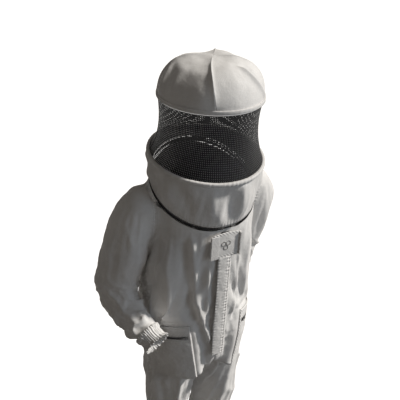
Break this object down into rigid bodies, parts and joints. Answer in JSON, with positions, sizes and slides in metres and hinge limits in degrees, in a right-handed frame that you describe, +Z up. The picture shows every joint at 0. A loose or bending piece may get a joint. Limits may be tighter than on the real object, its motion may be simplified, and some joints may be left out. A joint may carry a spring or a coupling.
{
  "type": "beekeeping suit",
  "caption": "Full-length hooded coverall with a round hooped mesh veil that zips on round the neck, a covered front zip, zipped thigh pockets and elasticated cuffs and ankles.",
  "frame": {"origin": "between the wearer's shoulders, at the height of the shoulder line, where the suit hangs on the wearer", "axes": "+Z up; the wearer faces -Y; +X is the wearer's left"},
  "size_m": [0.6929, 0.3903, 1.775],
  "materials": {
    "body_cloth": "plain-weave cotton blend",
    "trouser_cloth": "plain-weave cotton blend",
    "hem_cloth": "plain-weave cotton blend",
    "elastic": "ribbed elastic",
    "zip_tape": "woven tape",
    "zip_teeth": "moulded coil",
    "fly_cloth": "plain-weave cotton blend",
    "loop_tape": "looped tape",
    "pocket_cloth": "plain-weave cotton blend",
    "pocket_zip_tape": "woven tape and coil",
    "crown_cloth": "plain-weave cotton blend",
    "hood_binding": "plain-weave cotton blend",
    "hoop_wire": "sprung wire",
    "headband_elastic": "ribbed elastic",
    "veil_mesh": "square nylon net",
    "skirt_cloth": "plain-weave cotton blend",
    "flap_cloth": "plain-weave cotton blend",
    "hook_tape": "hooked tape",
    "sleeve_cloth": "plain-weave cotton blend",
    "cuff_cloth": "plain-weave cotton blend",
    "slider_metal": "black enamel",
    "pull_metal": "black enamel"
  },
  "bodies": {
    "suit": {"front_panel_left": "body_cloth", "front_panel_right": "body_cloth", "back_panel_left": "body_cloth", "back_panel_right": "body_cloth", "trouser_front_left": "trouser_cloth", "trouser_front_right": "trouser_cloth", "trouser_back_left": "trouser_cloth", "trouser_back_right": "trouser_cloth", "ankle_hem_left": "hem_cloth", "ankle_hem_right": "hem_cloth", "ankle_elastics": "elastic", "neck_zip_lower_tape": "zip_tape", "neck_zip_lower_teeth": "zip_teeth", "front_zip_tapes": "zip_tape", "front_zip_teeth": "zip_teeth", "front_fly": "fly_cloth", "fly_facing": "fly_cloth", "throat_facing": "fly_cloth", "flap_loop_patch": "loop_tape", "pocket_left": "pocket_cloth", "pocket_right": "pocket_cloth", "pocket_zip_left": "pocket_zip_tape", "pocket_zip_right": "pocket_zip_tape"},
    "hood": {"crown_gore_front": "crown_cloth", "crown_gore_left": "crown_cloth", "crown_gore_back": "crown_cloth", "crown_gore_right": "crown_cloth", "brim_band": "hood_binding", "upper_hoop": "hoop_wire", "headband": "headband_elastic", "veil_mesh_front": "veil_mesh", "veil_mesh_back": "veil_mesh", "veil_seam_tapes": "hood_binding", "lower_hoop_casing": "hood_binding", "lower_hoop": "hoop_wire", "veil_skirt_front": "skirt_cloth", "veil_skirt_back": "skirt_cloth", "neck_zip_upper_tape": "zip_tape", "neck_zip_upper_teeth": "zip_teeth"},
    "flap": {"throat_flap": "flap_cloth", "flap_hook_patch": "hook_tape"},
    "sleeve_left": {"sleeve_upper_left": "sleeve_cloth", "sleeve_lower_left": "sleeve_cloth", "cuff_left": "cuff_cloth", "cuff_elastic_left": "elastic"},
    "sleeve_right": {"sleeve_upper_right": "sleeve_cloth", "sleeve_lower_right": "sleeve_cloth", "cuff_right": "cuff_cloth", "cuff_elastic_right": "elastic"},
    "neck_slider_left": {"neck_slider_left": "slider_metal"},
    "neck_pull_left": {"neck_pull_left": "pull_metal"},
    "neck_slider_right": {"neck_slider_right": "slider_metal"},
    "neck_pull_right": {"neck_pull_right": "pull_metal"},
    "pocket_slider_left": {"pocket_slider_left": "slider_metal"},
    "pocket_pull_left": {"pocket_pull_left": "pull_metal"},
    "pocket_slider_right": {"pocket_slider_right": "slider_metal"},
    "pocket_pull_right": {"pocket_pull_right": "pull_metal"},
    "front_slider": {"front_slider": "slider_metal"},
    "front_pull": {"front_pull": "pull_metal"}
  },
  "joints": [
    {"name": "hood_throw_back", "type": "hinge", "parent": "suit", "child": "hood", "pos_m": [0, 0.17881, -0.018], "axis": [-1, 0, 0], "range_deg": [0, 110]},
    {"name": "sleeve_swing_left", "type": "hinge", "parent": "suit", "child": "sleeve_left", "pos_m": [0, 0.05, -0.19], "axis": [-1, 0, 0], "range_deg": [0, 70]},
    {"name": "sleeve_swing_right", "type": "hinge", "parent": "suit", "child": "sleeve_right", "pos_m": [0, 0.05, -0.19], "axis": [-1, 0, 0], "range_deg": [0, 70]},
    {"name": "flap_open", "type": "hinge", "parent": "suit", "child": "flap", "pos_m": [0.056, -0.1526, -0.27], "axis": [0, 0, 1], "range_deg": [0, 150]},
    {"name": "front_zip", "type": "slide", "parent": "suit", "child": "front_slider", "axis": [0, 0, -1], "range_m": [0, 0.47]},
    {"name": "front_pull_swing", "type": "hinge", "parent": "front_slider", "child": "front_pull", "pos_m": [0, -0.1458, -0.2385], "axis": [-1, 0, 0], "range_deg": [0, 12]},
    {"name": "neck_zip_left", "type": "hinge", "parent": "suit", "child": "neck_slider_left", "pos_m": [0, 0.016, -0.112], "axis": [0, -0.5, 0.866], "range_deg": [0, 150]},
    {"name": "neck_pull_swing_left", "type": "hinge", "parent": "neck_slider_left", "child": "neck_pull_left", "pos_m": [0.01649, -0.14723, -0.20624], "axis": [0, 0.5, -0.866], "range_deg": [0, 170]},
    {"name": "pocket_zip_left", "type": "hinge", "parent": "suit", "child": "pocket_slider_left", "pos_m": [0.0226, 0.0321, -0.65], "axis": [0.1093, 0.1349, 0.9848], "range_deg": [0, 38]},
    {"name": "pocket_pull_swing_left", "type": "hinge", "parent": "pocket_slider_left", "child": "pocket_pull_left", "pos_m": [0.11973, -0.12778, -0.63887], "axis": [-0.1093, -0.1349, -0.9848], "range_deg": [0, 170]},
    {"name": "neck_zip_right", "type": "hinge", "parent": "suit", "child": "neck_slider_right", "pos_m": [0, 0.016, -0.112], "axis": [0, 0.5, -0.866], "range_deg": [0, 150]},
    {"name": "neck_pull_swing_right", "type": "hinge", "parent": "neck_slider_right", "child": "neck_pull_right", "pos_m": [-0.01649, -0.14723, -0.20624], "axis": [0, -0.5, 0.866], "range_deg": [0, 170]},
    {"name": "pocket_zip_right", "type": "hinge", "parent": "suit", "child": "pocket_slider_right", "pos_m": [-0.0226, 0.0321, -0.65], "axis": [0.1093, -0.1349, -0.9848], "range_deg": [0, 38]},
    {"name": "pocket_pull_swing_right", "type": "hinge", "parent": "pocket_slider_right", "child": "pocket_pull_right", "pos_m": [-0.11973, -0.12778, -0.63887], "axis": [-0.1093, 0.1349, 0.9848], "range_deg": [0, 170]}
  ]
}
